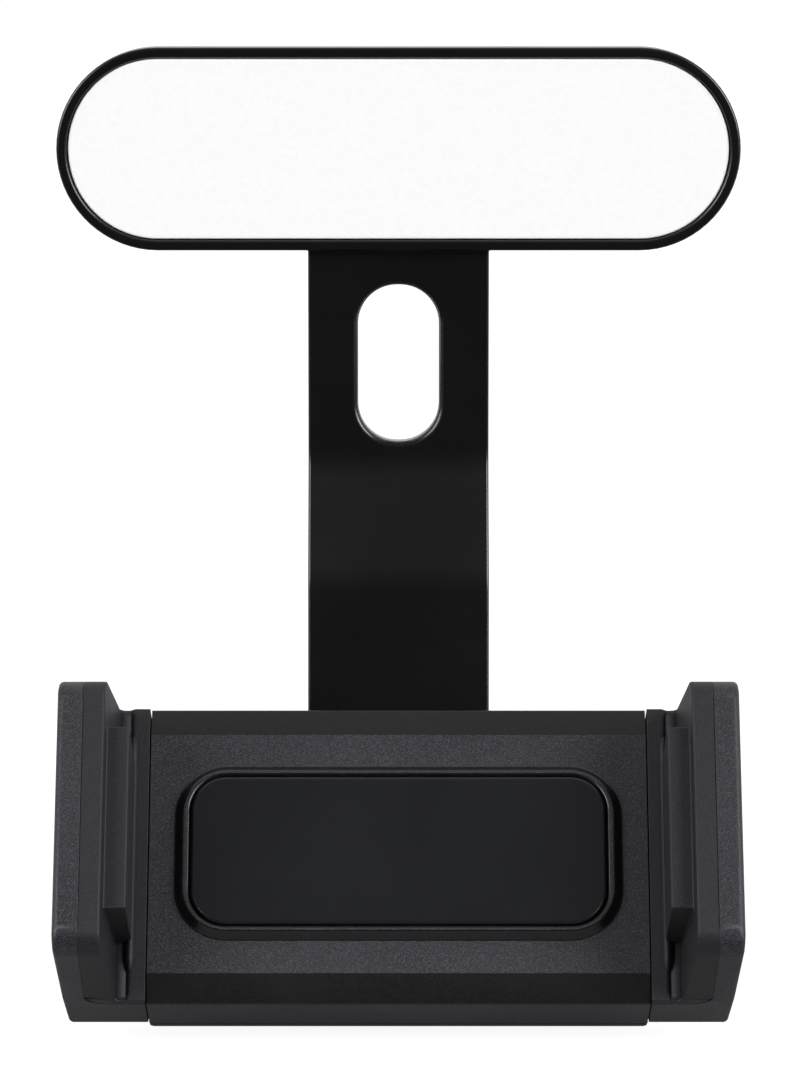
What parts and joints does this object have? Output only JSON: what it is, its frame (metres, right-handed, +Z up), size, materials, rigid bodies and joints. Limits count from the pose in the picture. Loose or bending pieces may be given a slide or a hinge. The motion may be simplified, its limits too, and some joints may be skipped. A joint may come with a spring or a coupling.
{
  "type": "air vent phone holder",
  "caption": "Vent-clip phone holder: pill-shaped sign plate on a joggled strip, with a spring clamp on a ball joint whose jaws slide apart together to grip a phone.",
  "frame": {"origin": "on the vent clip's axis, at the floor of its crossed blade slots", "axes": "+Y into the vent along the clip's axis, +Z up along the strip, +X to the right as seen by the driver"},
  "size_m": [0.0746, 0.076, 0.1019],
  "materials": {
    "bracket_plastic": "satin black moulding",
    "white_panel": "smooth white sheet",
    "hard_plastic": "satin black moulding",
    "boot_rubber": "matte black rubber",
    "screw_steel": "zinc plated",
    "spring_steel": "drawn wire",
    "grained_plastic": "fine spark grain",
    "pad_rubber": "smooth satin",
    "liner_rubber": "soft matte",
    "gear_plastic": "natural white"
  },
  "bodies": {
    "arm": {"sign_bracket": "bracket_plastic", "sign_insert": "white_panel", "clip_core": "hard_plastic", "clip_boot": "boot_rubber", "clip_screw": "screw_steel", "ball_stud": "hard_plastic", "stud_screw": "screw_steel"},
    "collar": {"collar_nut": "hard_plastic"},
    "clamp": {"front_housing": "grained_plastic", "front_pad": "pad_rubber", "rear_housing": "grained_plastic", "housing_screws": "screw_steel", "pinion_pin": "screw_steel", "left_spring": "spring_steel", "right_spring": "spring_steel"},
    "pinion": {"pinion": "gear_plastic"},
    "left_jaw": {"left_jaw": "grained_plastic", "left_liner": "liner_rubber"},
    "right_jaw": {"right_jaw": "grained_plastic", "right_liner": "liner_rubber"}
  },
  "joints": [
    {"name": "clamp_tilt", "type": "hinge", "parent": "arm", "child": "collar", "pos_m": [0, -0.02695, -0.08023], "axis": [1, 0, 0], "range_deg": [0, 48]},
    {"name": "clamp_spin", "type": "hinge", "parent": "collar", "child": "clamp", "pos_m": [0, -0.02695, -0.08023], "axis": [0, -0.866, 0.5], "continuous": true},
    {"name": "left_jaw_slide", "type": "slide", "parent": "clamp", "child": "left_jaw", "axis": [-1, 0, 0], "range_m": [0, 0.014], "stiffness_N_per_m": 120, "springref_m": -0.02, "deforming": ["left_spring"]},
    {"name": "right_jaw_slide", "type": "slide", "parent": "clamp", "child": "right_jaw", "axis": [1, 0, 0], "range_m": [0, 0.014], "stiffness_N_per_m": 120, "springref_m": -0.02, "deforming": ["right_spring"]},
    {"name": "pinion_spin", "type": "hinge", "parent": "clamp", "child": "pinion", "pos_m": [0, -0.03449, -0.07588], "axis": [0, -0.866, 0.5], "range_deg": [0, 192]}
  ],
  "couplings": [
    {"joint": "right_jaw_slide", "follows": "left_jaw_slide", "ratio": 1},
    {"joint": "pinion_spin", "follows": "left_jaw_slide", "rad_per_m": 238.1}
  ]
}
